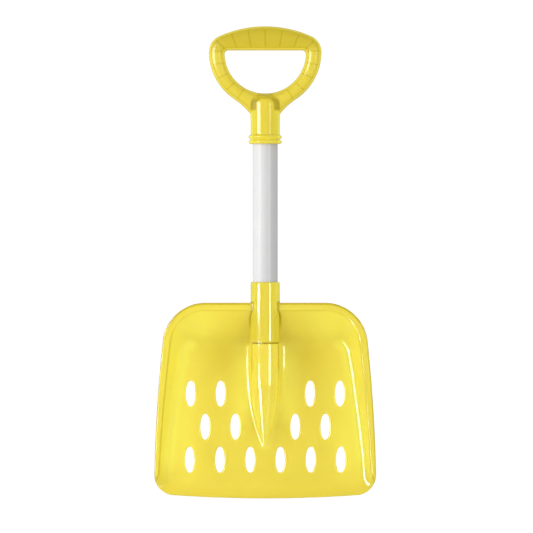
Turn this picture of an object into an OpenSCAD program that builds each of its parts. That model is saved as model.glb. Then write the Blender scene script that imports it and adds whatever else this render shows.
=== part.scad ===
// A sand shovel: a perforated blade and a D-shaped grip, both moulded, on a plain tube, with a screw behind each socket.
// It lies on its back. X runs across, Y along the handle towards the grip, Z up out of the dish. Sizes are in mm.
// Inside the modules, a station is the distance along Y from the middle of the digging edge.

/* [Blade] */
// Length from the digging edge to the top of the rim
blade_length = 195.7; // [160:0.1:240]
// Width across the lower corners, before they are rounded
foot_width = 221.9; // [180:0.1:260]
// Width across the upper corners, before they are rounded
top_width = 195.4; // [160:0.1:230]
// Radius of the lower corners
foot_radius = 17.3; // [10:0.1:25]
// Radius of the upper corners
top_radius = 40.4; // [25:0.1:55]
// Share by which the sides bulge half-way up
side_bulge = 0.028; // [0:0.001:0.05]
// How far the digging edge bows out in the middle
edge_bow = 4.7; // [0.5:0.1:10]
// Thickness of the moulded sheet
sheet = 2.4; // [1.6:0.1:3.2]
// Thickness of the digging edge
edge_thickness = 1.2; // [0.8:0.1:1.6]
// Length over which the sheet thins towards the digging edge
edge_bevel = 22; // [10:1:30]

/* [Rim and walls] */
// Height of the rim at the top of the blade
rim_height = 24; // [16:0.1:30]
// Height that the rim falls to at the lower corners
rim_height_foot = 10.5; // [6:0.1:15]
// Width of the flat rim at the top
rim_top = 7.5; // [6:0.1:11]
// Width of the flat rim at the lower corners
rim_foot = 4.2; // [3.5:0.1:7]
// Depth of the rim's turned-down outer edge
rim_lip = 4; // [3:0.1:6]
// Width of that edge
lip_width = 2.2; // [1.5:0.1:3]
// Small step from the rim down to the walls
rim_step = 0.8; // [0.3:0.1:1.5]
// Run of the back wall, from the rim to the fold at the floor
back_run = 31.2; // [22:0.1:50]
// Run of the side walls at the back
side_run = 12; // [8:0.1:20]
// Run of the side walls at the lower corners
side_run_foot = 5.8; // [3:0.1:9]
// Radius of the upper corners of that fold
fold_radius = 14; // [9:0.5:24]
// Length of the fillet at the foot of the back wall
back_fillet = 4; // [2:0.5:8]
// Length of the fillet at the foot of the side walls
side_fillet = 5; // [2:0.5:8]

/* [Sieve slots] */
// Width of a slot
slot_width = 9.5; // [6:0.1:12]
// Length of a slot, along the handle
slot_length = 26; // [16:0.1:30]
// Half the spacing of the slots in a row
slot_step = 15.1; // [13:0.05:16]
// Station of the lowest row
slot_first = 38.7; // [34:0.1:44]
// Distance between rows
slot_pitch = 33.05; // [30:0.05:36]

/* [Blade socket and ramp] */
// Length of the socket
socket_length = 60.6; // [45:0.1:75]
// How far the socket stands out above the rim
socket_rise = 20.8; // [18:0.1:30]
// Thickness of the wall that closes the socket's lower end
socket_floor = 2; // [1.5:0.1:4]
// Length of the ramp below the socket
ramp_length = 103; // [70:1:120]
// Length of the ramp's level part, next to the socket
ramp_flat = 45; // [30:1:60]
// How far the ramp lies under the socket's surface
ramp_drop = 1.2; // [0.6:0.1:3]
// Half width of the ramp where it meets the socket
ramp_half = 13.4; // [11:0.1:14]
// Size of the fillet along the ramp's foot
ramp_fillet = 9; // [5:0.1:11]
// Length over which that fillet opens out below the socket
ramp_lead = 14; // [8:0.5:18]

/* [Shaft] */
// Outside diameter of the tube
tube_diameter = 25; // [20:0.1:28]
// Wall of the tube
tube_wall = 2; // [1.5:0.1:3]
// Length of the tube that shows between the sockets
tube_show = 137.7; // [80:0.1:400]
// Clearance all round between the tube and its sockets
tube_fit = 0.1; // [0.05:0.01:0.2]
// Wall of both sockets
socket_wall = 1.9; // [1.5:0.1:2.6]

/* [Grip] */
// Height of the grip from the mouth of its socket to the top
grip_length = 117.3; // [105:0.1:130]
// Height of the hand loop's middle above the mouth
loop_height = 91.7; // [86:0.1:98]
// Outer radius of the hand loop
loop_radius = 56.2; // [52:0.1:62]
// Radius of the hand hole
hand_radius = 40.5; // [34:0.1:43]
// How far the hand hole's straight edge lies above the loop's middle
hand_edge = 1.8; // [0.5:0.1:4]
// Radius of the hand hole's two corners
hand_corner = 3.5; // [2:0.1:6]
// Radius of the curved top
bar_radius = 112; // [100:1:140]
// Radius of the fillets that run from the loop towards the socket
neck_radius = 74; // [50:1:90]
// Angle at which those fillets meet the socket
neck_kink = 38.5; // [30:0.5:45]
// Thickness of the hand loop from front to back
loop_depth = 19; // [15:0.1:24]
// Part of that thickness that is crowned
loop_crown = 8; // [6:0.1:11]
// Wall of the loop's open-backed channel
loop_wall = 2.2; // [1.6:0.1:3]
// Thickness of the ribs inside the channel
rib = 1.6; // [1:0.1:2.4]
// Depth of the tube in the grip's socket
grip_depth = 40; // [30:0.5:42]
// Length of the socket with its rounded end
grip_socket = 49; // [46:0.5:51]
// Radius of that rounded end
dome_radius = 9.5; // [5:0.1:12]
// Radius of the two beads round the mouth, as seen in section
bead = 1.9; // [1:0.1:2.4]
// Distance between the beads
bead_pitch = 4.95; // [4:0.05:6]

/* [Screws] */
// Diameter of the shank
screw_diameter = 3.2; // [2.5:0.1:4]
// Length under the head
screw_length = 8; // [6:0.5:10]
// Diameter of the head
screw_head = 7; // [5.5:0.1:8]
// Height of the head
screw_head_height = 1.8; // [1.2:0.1:2]
// Depth of the flat that the head sits on
screw_seat = 0.5; // [0.3:0.05:0.7]
// Clearance round the shank in the sockets
screw_clearance = 0.2; // [0.1:0.05:0.4]
// Distance of each screw from the mouth of its socket
screw_inset = 10.5; // [9:0.5:14]

/* [Hidden] */
$fn = 64;

yellow = [0.94, 0.84, 0.24];
white = [0.95, 0.95, 0.94];
steel = [0.72, 0.73, 0.75];

bore_radius = tube_diameter / 2 + tube_fit;
socket_radius = bore_radius + socket_wall;
bead_radius = socket_radius + bead + 0.2;
axis_height = bead_radius;

socket_top = blade_length + socket_rise;
socket_end = socket_top - socket_length;
tube_start = socket_end + socket_floor;
mouth = socket_top + tube_show;
tube_length = mouth + grip_depth - tube_start;
overall = mouth + grip_length;

blade_screw_at = socket_top - screw_inset;
grip_screw_at = mouth + bead_pitch + 2 * bead + screw_inset;
seat_height = axis_height - socket_radius + screw_seat;

// Turns a drawing whose Z axis is the tube into the frame, with its origin at a station.
module along_tube(station)
    translate([0, station - overall / 2, axis_height])
        rotate([-90, 0, 0])
            children();

// Moves a drawing made in stations into the frame.
module in_stations()
    translate([0, -overall / 2, 0])
        children();

function mix(a, b, t) = a + (b - a) * t;
function clamp(t) = min(1, max(0, t));
function ease(t) = let (u = clamp(t)) u * u * (3 - 2 * u);
function flat(p) = [p.x, p.y];
function curve(a, b, c, t) = mix(mix(a, b, t), mix(b, c, t), t);
function mirrored(half) = concat(half, [for (i = [len(half) - 2 : -1 : 1]) [-half[i].x, half[i].y]]);

// Triangles across a ring that mirrors itself, between each point and its opposite, for n points from a first index.
function cap_faces(first, n) =
    [for (k = [0 : ceil(n / 2) - 1])
        let (a = first + k, b = first + n - 1 - k)
            each [if (b - a > 1) [a, a + 1, b], if (b - a > 2) [a + 1, b - 1, b]]];

// Triangles between rings of n points each, closed at both ends by the first and the last ring.
function skin_faces(rings, n) = concat(
    cap_faces(0, n),
    [for (r = [0 : rings - 2], i = [0 : n - 1])
        let (j = (i + 1) % n, a = r * n, b = a + n)
            each [[a + j, a + i, b + i], [a + j, b + i, b + j]]],
    [for (face = cap_faces((rings - 1) * n, n)) [face[2], face[1], face[0]]]);

module skin(rings)
    polyhedron(
        points = [for (ring = rings) each ring],
        faces = skin_faces(len(rings), len(rings[0])),
        convexity = 8);

// Blade

foot_half = foot_width / 2;
top_half = top_width / 2;
side_slope = (foot_half - top_half) / (blade_length - edge_bow);

// Share of the way up the blade, from the corners of the digging edge to the rim's top.
function up(s) = clamp((s - edge_bow) / (blade_length - edge_bow));
function outline_half(s) = foot_half - side_slope * (s - edge_bow);
function rim_width(s) = mix(rim_foot, rim_top, up(s));

// Right half of a trapezoid with rounded corners, from the middle of its foot to the middle of its top.
function half_ring(foot, top, low, high, low_radius, high_radius) =
    let (
        along = [top - foot, high - low] / norm([top - foot, high - low]),
        inward = [-along.y, along.x],
        low_k = low_radius * (1 - inward.y) / along.y,
        low_centre = [foot + low_k * along.x + low_radius * inward.x, low + low_radius],
        high_k = (high - low - high_radius * (1 + inward.y)) / along.y,
        high_centre = [foot + high_k * along.x + high_radius * inward.x, high - high_radius],
        turn = atan2(-inward.y, -inward.x),
        side_from = low_centre + low_radius * [cos(turn), sin(turn)],
        side_to = high_centre + high_radius * [cos(turn), sin(turn)])
    concat(
        [for (i = [0 : 5]) [low_centre.x * i / 6, low]],
        [for (i = [0 : 6]) let (a = mix(-90, turn, i / 7)) low_centre + low_radius * [cos(a), sin(a)]],
        [for (i = [0 : 7]) mix(side_from, side_to, i / 8)],
        [for (i = [0 : 9]) let (a = mix(turn, 90, i / 10)) high_centre + high_radius * [cos(a), sin(a)]],
        [for (i = [0 : 3]) [high_centre.x * (1 - i / 3), high]]);

// Bulges the sides and bows the digging edge.
function warped(p) =
    let (v = up(p.y), across = p.x / foot_half)
        [p.x * (1 + 4 * side_bulge * v * (1 - v)), p.y - edge_bow * (1 - across * across) * (1 - v) * (1 - v)];

// The outline, moved in by a width at the foot and another at the top.
function inset_ring(foot_in, top_in) = mirrored(half_ring(
    foot_half - foot_in, top_half - top_in, edge_bow + foot_in, blade_length - top_in,
    foot_radius - foot_in, top_radius - top_in));

floor_top = blade_length - rim_top - back_run;
floor_low = edge_bow + rim_foot + side_run_foot;
floor_top_half = outline_half(floor_top) - rim_width(floor_top) - side_run;
floor_foot_half = foot_half - rim_foot - side_run_foot;
floor_foot_radius = foot_radius - rim_foot - 2;

outer_ring = inset_ring(0, 0);
rounded_ring = inset_ring(0.5, 0.5);
lip_ring = inset_ring(lip_width, lip_width);
under_ring = inset_ring(lip_width + 0.4, lip_width + 0.4);
rim_ring = inset_ring(rim_foot, rim_top);
wall_ring = inset_ring(rim_foot + 0.6, rim_top + 0.6);
fold_ring = mirrored(half_ring(
    floor_foot_half, floor_top_half, floor_low, floor_top, floor_foot_radius, fold_radius));
floor_ring = mirrored(half_ring(
    floor_foot_half - side_fillet, floor_top_half - side_fillet, edge_bow + edge_bevel, floor_top - back_fillet,
    floor_foot_radius, fold_radius - side_fillet));
ring_size = len(outer_ring);

// Height of the plane that the rim lies in, and of the sheet's upper face on the floor and the bevelled edge.
function rim_plane(s) = mix(rim_height_foot, rim_height, up(s));
function sheet_top(s) = mix(edge_thickness, sheet, clamp((s - edge_bow) / edge_bevel));

// The walls fade out round the lower corners, so that the digging edge is flat.
rise = [for (p = outer_ring) ease((p.y - edge_bow - 1) / (foot_radius + 4))];

function upper(ring, drop) =
    [for (i = [0 : ring_size - 1])
        let (s = ring[i].y) [ring[i].x, s, mix(sheet_top(s), rim_plane(s) - drop, rise[i])]];
function lower(ring, drop) =
    [for (i = [0 : ring_size - 1]) let (s = ring[i].y) [ring[i].x, s, (rim_plane(s) - drop) * rise[i]]];
function level(ring, thick) = [for (p = ring) [p.x, p.y, thick ? sheet_top(p.y) : 0]];

wall_top = upper(wall_ring, rim_step);
fold_top = level(fold_ring, true);
floor_face = level(floor_ring, true);

// Outward shift of the lower face that keeps the wall's thickness, for each point of the ring.
wall_shift = [for (i = [0 : ring_size - 1])
    let (
        run = flat(wall_top[i] - fold_top[i]),
        height = wall_top[i].z - fold_top[i].z,
        shift = sheet * height / (norm([norm(run), height]) + norm(run)))
    run / norm(run) * shift];
wall_under = [for (i = [0 : ring_size - 1])
    let (p = flat(wall_ring[i]) + wall_shift[i]) [p.x, p.y, (rim_plane(p.y) - sheet) * rise[i]]];
fold_under = [for (i = [0 : ring_size - 1]) let (p = fold_ring[i] + wall_shift[i]) [p.x, p.y, 0]];
floor_under = level(floor_ring, false);

// Share of the wall that the fillet at its foot takes up.
fillet_share = [for (i = [0 : ring_size - 1])
    min(0.6, norm(floor_face[i] - fold_top[i]) / norm(wall_top[i] - fold_top[i]))];
function fillet(walls, folds, floors, t) =
    [for (i = [0 : ring_size - 1]) curve(mix(folds[i], walls[i], fillet_share[i]), folds[i], floors[i], t)];

dish_rings = concat(
    [floor_under],
    [for (k = [4 : -1 : 0]) fillet(wall_under, fold_under, floor_under, k / 5)],
    [wall_under, lower(under_ring, sheet), lower(lip_ring, rim_lip), lower(outer_ring, rim_lip)],
    [upper(outer_ring, 0.5), upper(rounded_ring, 0), upper(rim_ring, 0), wall_top],
    [for (k = [0 : 4]) fillet(wall_top, fold_top, floor_face, k / 5)],
    [floor_face]);

module dish()
    skin([for (ring = dish_rings) [for (p = ring) let (q = warped(p)) [q.x, q.y, p.z]]]);

// Height of the dish's upper face along the middle of the blade.
back_share = min(0.6, back_fillet / norm([back_run - 0.6, rim_height - rim_step - sheet]));
back_top = floor_top + back_share * (back_run - 0.6);
back_rise = back_share * (rim_height - rim_step - sheet);
function middle_height(s) =
    let (t = clamp((s - floor_top + back_fillet) / (back_top - floor_top + back_fillet)))
        sheet + back_rise * t * t + max(0, s - back_top) * back_rise / (back_top - floor_top);

ramp_top = axis_height + socket_radius - ramp_drop;
ramp_steps = 24;
ramp_start = socket_end + 2;
ramp_tip = socket_end - ramp_length;

// Width, ridge and foot of the ramp for u from 0 at the socket to 1 at its tip.
function ramp_width(u) = ramp_half * (1 - pow(u, 3.2)) + 1.5 * u;
function ramp_fall(u) = clamp((u * ramp_length - ramp_flat) / (ramp_length - ramp_flat));
function ramp_ridge(u) = (ramp_top - sheet) * (1 - pow(ramp_fall(u), 1.3)) + 0.7 * u;
function ramp_foot(u) = min(ramp_fillet * (1 - pow(u, 1.6)) + 2.5 * u, 0.6 * ramp_ridge(u));

// Places of the sections from 0 to 1, closer together near both ends.
function ramp_place(i) = i / ramp_steps - 0.08 * sin(360 * i / ramp_steps);

// Half of a section: its crown from the top down, then the flank. A cut is the hollow under the ramp.
function ramp_half_section(s, cut) =
    let (
        u = clamp((socket_end - s) / ramp_length),
        base = middle_height(s),
        inset = cut ? sheet : 0,
        width = ramp_width(u) - inset,
        top = max(sheet + ramp_ridge(u), base + 0.5) - inset,
        foot = mix(0.3, ramp_foot(u), ease((ramp_start - s) / ramp_lead)),
        crown = min(width, top - base - (cut ? 0 : foot)))
    concat(
        [for (a = [90 : -10 : 0]) [width * cos(a), top - crown + crown * sin(a)]],
        cut
            ? [[width, -2]]
            : concat(
                [for (a = [180 : 22.5 : 270]) [width + foot + foot * cos(a), base + foot + foot * sin(a) - 0.04]],
                [[width + foot, base - sheet / 2]]));

function ramp_section(s, cut) =
    let (half = ramp_half_section(s, cut), n = len(half))
    concat(
        [for (i = [n - 1 : -1 : 0]) [half[i].x, s, half[i].y]],
        [for (i = [1 : n - 1]) [-half[i].x, s, half[i].y]]);

module ramp()
    skin([for (i = [0 : ramp_steps]) ramp_section(mix(ramp_start, ramp_tip, ramp_place(i)), false)]);

module ramp_hollow()
    skin([for (i = [0 : ramp_steps])
        ramp_section(mix(socket_end - 0.4, socket_end - ramp_length * 0.92, ramp_place(i)), true)]);

// Rows of slots: the row's number, then the places of its slots in steps to either side of the middle.
slot_rows = [[0, [1, 3, 5]], [1, [2, 4]], [2, [3, 5]]];

module slots()
    for (row = slot_rows, place = row[1], side = [-1, 1])
        translate([side * place * slot_step * (1 - 0.006 * row[0]), slot_first + row[0] * slot_pitch, -1])
            linear_extrude(sheet + 4)
                polygon([for (a = [0 : 10 : 350]) [slot_width / 2 * cos(a), slot_length / 2 * sin(a)]]);

// Hole and flat seat for a screw, in the frame, at a station on the back of a socket.
module screw_cut(station)
    translate([0, station - overall / 2, 0]) {
        cylinder(d = screw_head + 1, h = seat_height);
        cylinder(d = screw_diameter + 2 * screw_clearance, h = axis_height);
    }

module blade()
    color(yellow)
        difference() {
            union() {
                in_stations() {
                    dish();
                    ramp();
                }
                along_tube(socket_end)
                    rotate_extrude()
                        union() {
                            square([socket_radius, socket_length - 0.9]);
                            square([socket_radius - 0.9, socket_length]);
                            translate([socket_radius - 0.9, socket_length - 0.9])
                                circle(0.9);
                        }
            }
            in_stations() {
                ramp_hollow();
                slots();
            }
            along_tube(tube_start)
                cylinder(r = bore_radius, h = socket_length);
            screw_cut(blade_screw_at);
        }

// Shaft

module shaft()
    color(white)
        difference() {
            along_tube(tube_start)
                difference() {
                    cylinder(d = tube_diameter, h = tube_length);
                    translate([0, 0, -1])
                        cylinder(d = tube_diameter - 2 * tube_wall, h = tube_length + 2);
                }
            for (station = [blade_screw_at, grip_screw_at])
                translate([0, station - overall / 2, 0])
                    cylinder(d = screw_diameter, h = axis_height);
        }

// Grip. Its outlines are drawn about the loop's middle, with v towards the top.

loop_top = grip_length - loop_height;
loop_middle = mouth + loop_height;
loop_back = axis_height - loop_depth / 2;
hand_drop = 0.9;

// The corner between the curved top and the loop's side: its radius, and the angle where it meets the top.
bar_low = bar_radius - loop_top;
corner_radius = (bar_radius * bar_radius - loop_radius * loop_radius - bar_low * bar_low)
    / (2 * (bar_radius - loop_radius));
corner_turn = atan2(bar_low, loop_radius - corner_radius);

// The middle of the neck's fillet, the angle where it leaves the loop, and where it meets the socket.
neck_x = socket_radius + neck_radius * cos(neck_kink);
neck_v = -sqrt(pow(loop_radius + neck_radius, 2) - neck_x * neck_x);
neck_turn = atan2(-neck_v, neck_x);
neck_end = neck_v + neck_radius * sin(neck_kink);

// Where the hand hole's straight edge ends.
hand_corner_v = hand_edge - hand_corner;
hand_corner_x = sqrt(pow(hand_radius - hand_corner, 2) - pow(hand_corner_v + hand_drop, 2));
hand_turn = atan2(hand_corner_v + hand_drop, hand_corner_x);

bar_steps = 6;
corner_steps = 6;
side_steps = 10;
neck_steps = 4;

// Right half of the loop, as pairs of a point on the hand hole and one on the outside, from the top down.
half_loop = concat(
    [for (i = [0 : bar_steps - 1])
        let (t = i / bar_steps, a = mix(90, corner_turn, t))
            [[hand_corner_x * t, hand_edge], [bar_radius * cos(a), bar_radius * sin(a) - bar_low]]],
    [for (i = [0 : corner_steps - 1])
        let (t = i / corner_steps, a = mix(90, hand_turn, t), b = mix(corner_turn, 0, t))
            [[hand_corner_x + hand_corner * cos(a), hand_corner_v + hand_corner * sin(a)],
                [loop_radius - corner_radius + corner_radius * cos(b), corner_radius * sin(b)]]],
    [for (i = [0 : side_steps - 1])
        let (t = i / side_steps, a = mix(hand_turn, -neck_turn, t), b = -neck_turn * t)
            [[hand_radius * cos(a), hand_radius * sin(a) - hand_drop],
                [loop_radius * cos(b), loop_radius * sin(b)]]],
    [for (i = [0 : neck_steps - 1])
        let (t = i / neck_steps, a = mix(-neck_turn, -84, t), b = mix(180 - neck_turn, 180 - neck_kink, t))
            [[hand_radius * cos(a), hand_radius * sin(a) - hand_drop],
                [neck_x + neck_radius * cos(b), neck_v + neck_radius * sin(b)]]],
    [[[hand_radius * cos(-84), hand_radius * sin(-84) - hand_drop], [socket_radius, neck_end]],
        [[0, -hand_radius - hand_drop], [0, neck_end]]]);

function flipped(pair) = [for (p = pair) [-p.x, p.y]];
loop = concat(half_loop, [for (i = [len(half_loop) - 2 : -1 : 1]) flipped(half_loop[i])]);

// Half-round section with straight sides, moved in by an inset, as places along the width and heights.
function loop_profile(width, inset, foot) =
    let (half = width / 2 - inset, crown = loop_crown - inset, spring = loop_back + loop_depth - loop_crown)
    concat(
        [[inset, foot]],
        [for (a = [180 : -20 : 0]) [width / 2 + half * cos(a), spring + crown * sin(a)]],
        [[width - inset, foot]]);

// A point of a section of the loop, moved along the loop by a distance.
function on_loop(pair, place, shift) =
    let (across = (pair[1] - pair[0]) / norm(pair[1] - pair[0]))
    let (p = pair[0] + across * place.x + [across.y, -across.x] * shift)
        [p.x, loop_middle + p.y, place.y];

function channel(pair) =
    let (width = norm(pair[1] - pair[0]), inner = loop_profile(width, loop_wall, loop_back))
    [for (place = concat(
        loop_profile(width, 0, loop_back),
        [for (i = [len(inner) - 1 : -1 : 0]) inner[i]]))
        on_loop(pair, place, 0)];

// The channel runs round in a ring, so its last section joins its first.
module hand_loop() {
    sections = [for (pair = loop) channel(pair)];
    n = len(sections[0]);
    m = len(sections);
    polyhedron(
        points = [for (section = sections) each section],
        faces = [for (k = [0 : m - 1], i = [0 : n - 1])
            let (j = (i + 1) % n, a = k * n, b = ((k + 1) % m) * n)
                each [[a + i, a + j, b + i], [b + i, a + j, b + j]]],
        convexity = 8);
}

// Ribs: pairs of points between which each lies, on the right half.
rib_pairs = concat(
    [for (t = [0, 0.37, 0.74])
        let (a = mix(90, corner_turn, t))
            [[hand_corner_x * t, hand_edge], [bar_radius * cos(a), bar_radius * sin(a) - bar_low]]],
    [[[hand_corner_x + hand_corner * cos(62), hand_corner_v + hand_corner * sin(62)],
        [loop_radius - corner_radius + corner_radius * cos(48), corner_radius * sin(48)]]],
    [for (a = [1.5, -13.8, -29.2, -44.4, -59.4])
        [[hand_radius * cos(a), hand_radius * sin(a) - hand_drop], [loop_radius * cos(a), loop_radius * sin(a)]]]);

module ribs()
    for (k = [0 : len(rib_pairs) - 1], side = k == 0 ? [1] : [1, -1]) {
        pair = side > 0 ? rib_pairs[k] : flipped(rib_pairs[k]);
        profile = loop_profile(norm(pair[1] - pair[0]), loop_wall / 2, loop_back + 1);
        skin([for (shift = [rib / 2, -rib / 2]) [for (place = profile) on_loop(pair, place, shift)]]);
    }

module grip()
    color(yellow)
        difference() {
            union() {
                in_stations() {
                    hand_loop();
                    ribs();
                }
                along_tube(mouth)
                    rotate_extrude()
                        union() {
                            square([socket_radius, grip_socket - dome_radius]);
                            square([socket_radius - dome_radius, grip_socket]);
                            intersection() {
                                translate([socket_radius - dome_radius, grip_socket - dome_radius])
                                    circle(dome_radius);
                                square([socket_radius, grip_socket]);
                            }
                            for (k = [0, 1])
                                translate([bead_radius - bead, bead + k * bead_pitch])
                                    circle(bead);
                        }
            }
            along_tube(mouth - 1)
                cylinder(r = bore_radius, h = grip_depth + 1);
            screw_cut(grip_screw_at);
        }

// Screws, seen from the back of the shovel: a low domed head on a plain shank with a pointed end.
module screw(station)
    color(steel)
        translate([0, station - overall / 2, seat_height])
            rotate_extrude()
                polygon(concat(
                    [[0, -screw_head_height]],
                    [for (a = [0 : 15 : 90])
                        [screw_head / 2 - 1.2 + 1.2 * sin(a), -screw_head_height + 1.2 - 1.2 * cos(a)]],
                    [[screw_head / 2, 0], [screw_diameter / 2, 0]],
                    [[screw_diameter / 2, screw_length - 2], [0.3, screw_length], [0, screw_length]]));

module blade_screw() screw(blade_screw_at);

module grip_screw() screw(grip_screw_at);

blade();
shaft();
grip();
blade_screw();
grip_screw();
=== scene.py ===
"""Looks of a sand shovel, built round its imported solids.

The two mouldings and the screws are drawn as distance fields, which join their walls with fillets,
and are then meshed. Fields work in millimetres: x across, s along the handle from the digging edge
and z up out of the dish."""

import math

import bpy
import numpy as np
import openvdb
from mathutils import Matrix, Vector


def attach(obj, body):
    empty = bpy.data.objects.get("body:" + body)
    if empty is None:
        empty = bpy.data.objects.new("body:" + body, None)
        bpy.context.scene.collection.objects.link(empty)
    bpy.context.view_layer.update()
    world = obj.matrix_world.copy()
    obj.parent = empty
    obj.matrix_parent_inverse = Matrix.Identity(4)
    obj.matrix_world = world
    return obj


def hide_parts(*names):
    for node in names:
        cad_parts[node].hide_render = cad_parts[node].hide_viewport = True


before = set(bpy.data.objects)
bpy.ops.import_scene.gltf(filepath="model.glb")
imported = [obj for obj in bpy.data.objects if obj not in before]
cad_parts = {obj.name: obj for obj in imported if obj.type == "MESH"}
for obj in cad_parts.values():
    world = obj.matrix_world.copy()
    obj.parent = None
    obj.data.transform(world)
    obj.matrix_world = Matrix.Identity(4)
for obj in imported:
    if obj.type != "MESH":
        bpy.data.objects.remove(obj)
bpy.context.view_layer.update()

# Sizes of the blade
BLADE_LENGTH = 195.7
FOOT_HALF = 110.95
TOP_HALF = 97.7
FOOT_RADIUS = 17.3
TOP_RADIUS = 40.4
SIDE_BULGE = 0.028
EDGE_BOW = 4.7
SHEET = 2.4
EDGE_THICKNESS = 1.2
EDGE_BEVEL = 22
RIM_HEIGHT = 24
RIM_HEIGHT_FOOT = 10.5
RIM_TOP = 7.5
RIM_FOOT = 4.2
RIM_LIP = 4
LIP_WIDTH = 2.2
RIM_STEP = 0.8
STEP_RUN = 0.6
RISE_START = 1
RISE_RUN = FOOT_RADIUS + 4
BACK_RUN = 31.2
SIDE_RUN = 12
SIDE_RUN_FOOT = 5.8
FOLD_RADIUS = 14
FOLD_RADIUS_FOOT = FOOT_RADIUS - RIM_FOOT - 2
FOLD_BLEND = 3.3
FOLD_BLEND_SHARE = 0.7
LEAST_BLEND = 0.05
SLOT_WIDTH = 9.5
SLOT_LENGTH = 26
SLOT_STEP = 15.1
SLOT_STEP_LOSS = 0.006
SLOT_FIRST = 38.7
SLOT_PITCH = 33.05
SLOT_ROWS = ((0, (1, 3, 5)), (1, (2, 4)), (2, (3, 5)))

# Sizes of the sockets, the tube and the ramp
BORE = 12.6
SOCKET = 14.5
AXIS = 16.6
SOCKET_END = 155.9
SOCKET_TOP = 216.5
TUBE_START = 157.9
TUBE_LENGTH = 236.3
TUBE_RADIUS = 12.5
TUBE_WALL = 2
TUBE_EASE = 0.4
TUBE_EASE_MIDDLE = 0.12
TUBE_SIDES = 128
TUBE_RINGS_OUTSIDE = 12
TUBE_RINGS_INSIDE = 4
RAMP_LENGTH = 103
RAMP_FLAT = 45
RAMP_DROP = 1.2
RAMP_TOP = AXIS + SOCKET - RAMP_DROP
RAMP_HALF = 13.4
RAMP_NARROWING = 3.2
RAMP_SINKING = 1.1
RAMP_POINT_HALF = 1.5
RAMP_POINT_HEIGHT = 0.7
RAMP_LEAST = 0.3
RAMP_OVERLAP = 2
RAMP_LEAD = 7
HOLLOW_SHARE = 0.92
HOLLOW_GAP = 0.4

# Sizes of the grip
MOUTH = 354.2
OVERALL = 471.5
LOOP_MIDDLE = 445.9
LOOP_TOP = 25.6
LOOP_RADIUS = 56.2
LOOP_BACK = 7.1
LOOP_SPRING = 18.1
LOOP_CROWN = 8
LOOP_WALL = 2.2
LOOP_LEAST_HALF = 0.5
HAND_RADIUS = 40.5
HAND_DROP = 0.9
HAND_EDGE = 1.8
HAND_CORNER = 3.5
BAR_RADIUS = 112
NECK_RADIUS = 74
NECK_KINK = math.radians(38.5)
NECK_OVERLAP = 4
RIB = 1.6
RIB_OVERLAP = 2
RIB_RECESS = 1
BAR_RIBS = (0, 0.37, 0.74)
CORNER_RIB_INSIDE = math.radians(62)
CORNER_RIB_OUTSIDE = math.radians(48)
ARM_RIBS = (1.5, -13.8, -29.2, -44.4, -59.4)
GRIP_DEPTH = 40
GRIP_SOCKET = 49
DOME = 9.5
BEAD = 1.9
BEAD_PITCH = 4.95
BEAD_RADIUS = 16.6

# Sizes of the screws
BLADE_SCREW = 206
GRIP_SCREW = 373.45
SEAT = 2.6
HEAD_RADIUS = 3.5
HEAD_HEIGHT = 1.8
HEAD_CLEARANCE = 0.5
PAN_RADIUS = 5.7
PAN_CENTRE = 3.9
RECESS_DEPTH = 1.2
RECESS_HALF = 0.62
RECESS_FLARE = 0.12
RECESS_REACH = 2.1
RECESS_SLOPE = 0.5
SHANK_RADIUS = 1.6
SHANK_LENGTH = 8
SHANK_CLEARANCE = 0.2
SHANK_OVERLAP = 0.5
POINT_LENGTH = 2.4
CORE_RADIUS = 1.15
THREAD_HEIGHT = 0.45
THREAD_PITCH = 1.3
THREAD_GAP = 0.6
THREAD_SLOWING = 0.6

# Fillets and eased edges
LIP_FILLET = 0.8
EDGE_ROUND = 0.4
RIM_ROUND = 1.4
RIM_ROUND_RUN = 4
SLOT_EDGE = 0.8
RAMP_FILLET = 9
RAMP_FILLET_POINT = 2.5
RAMP_FILLET_POWER = 1.6
RAMP_FILLET_LEAST = 0.3
HOLLOW_EDGE = 0.8
SLEEVE_FILLET = 1.5
SLEEVE_EDGE = 1.6
BORE_EDGE = 0.5
LOOP_EDGE = 0.6
RIB_FILLET = 0.8
GRIP_FILLET = 1.2
BEAD_FILLET = 0.5
HEAD_EDGE = 0.7
HEAD_FILLET = 0.3
RECESS_EDGE = 0.15

BLADE_BOX = ((-116, -5, -3), (116, 221, 36))
BLADE_CELLS = (1.12, 1.6)
GRIP_BOX = ((-60, 350, -3), (60, 476, 37))
GRIP_CELLS = (0.72, 1.0)
SCREW_REACH = 4.2
SCREW_BOX_TOP = 11.4
SCREW_CELL = 0.14

# How the dish's slope is taken, and how points settle on a field's zero level, in cells
SLOPE_STEP = 0.2
CELL_BAND = 3
SETTLING_ROUNDS = 4
SETTLING_LIMIT = 0.35
PROBE_SHARE = 0.02
LEAST_SLOPE = 0.25

# Colours: pairs that a noise runs between, the yellow of painted light, and tints of painted shade
YELLOW = ((0.785, 0.665, 0.070), (0.815, 0.690, 0.078))
PAINTED_LIGHT_YELLOW = (0.942, 0.865, 0.122, 1)
SHADE_TINTS = ((0, (1, 1, 1)), (0.5, (0.72, 0.675, 0.12)), (1, (0.4, 0.34, 0.03)))
WHITE = ((0.72, 0.72, 0.72), (0.75, 0.75, 0.745))
ZINC = ((0.52, 0.53, 0.55), (0.66, 0.67, 0.70))
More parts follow.
